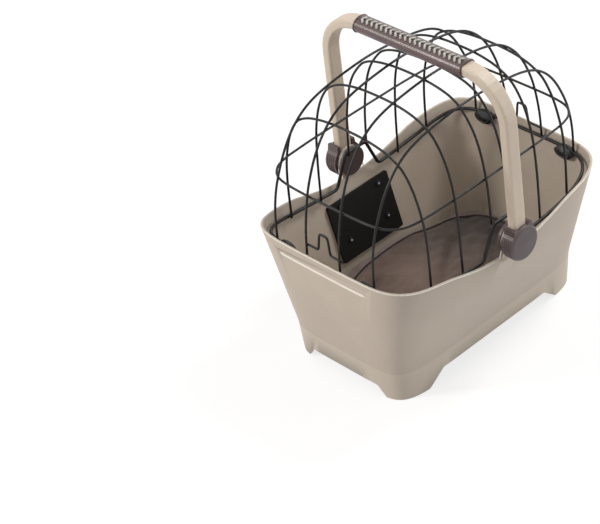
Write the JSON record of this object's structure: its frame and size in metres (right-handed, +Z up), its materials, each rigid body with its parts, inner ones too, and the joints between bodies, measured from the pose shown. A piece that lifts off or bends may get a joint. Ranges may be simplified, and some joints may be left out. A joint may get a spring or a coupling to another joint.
{
  "type": "dog bicycle basket",
  "caption": "Moulded pet carrier basket for a bicycle, with a welded wire dome, a swing carrying handle, an inner mounting plate and a floor cushion.",
  "frame": {"origin": "bottom centre, on the plane that the four feet stand on", "axes": "+X along the basket, +Y towards the bicycle, +Z up"},
  "size_m": [0.5, 0.4156, 0.5381],
  "materials": {
    "shell": "fine satin moulded grain",
    "handle": "satin moulded",
    "sleeve": "grained, laced along the top",
    "hub": "semi-gloss",
    "wire": "black coating",
    "clip": "satin",
    "plate": "matt",
    "bracket": "matt",
    "steel": "satin",
    "cushion": "woven, soft"
  },
  "bodies": {
    "basket": {"tub_shell": "shell", "inner_plate": "plate", "bike_bracket": "bracket", "plate_bolt_1": "steel", "plate_bolt_2": "steel", "plate_bolt_3": "steel", "plate_bolt_4": "steel", "plate_nut_1": "steel", "plate_nut_2": "steel", "plate_nut_3": "steel", "plate_nut_4": "steel", "ring_clip_1": "clip", "ring_clip_2": "clip", "ring_clip_3": "clip", "ring_clip_4": "clip", "hub_inner_cap_a": "hub", "hub_inner_cap_b": "hub", "pivot_pin_a": "steel", "pivot_pin_b": "steel", "cushion": "cushion"},
    "handle": {"handle_arch": "handle", "grip_sleeve": "sleeve", "hub_cup_a": "hub", "hub_cup_b": "hub"},
    "dome": {"base_ring": "wire", "mid_ring": "wire", "cross_hoop_1": "wire", "cross_hoop_2": "wire", "cross_hoop_3": "wire", "cross_hoop_4": "wire", "cross_hoop_5": "wire", "cross_hoop_6": "wire", "long_hoop_1": "wire", "long_hoop_2": "wire", "long_hoop_3": "wire", "long_hoop_4": "wire", "pull_loop_1": "wire", "pull_loop_2": "wire"}
  },
  "joints": [
    {"name": "handle_swing", "type": "hinge", "parent": "basket", "child": "handle", "pos_m": [0, 0, 0.2355], "axis": [0, 1, 0], "range_deg": [-88.5, 91.5]},
    {"name": "dome_lift", "type": "hinge", "parent": "basket", "child": "dome", "pos_m": [0.239, 0, 0.2425], "axis": [0, 1, 0], "range_deg": [0, 4.5]}
  ]
}
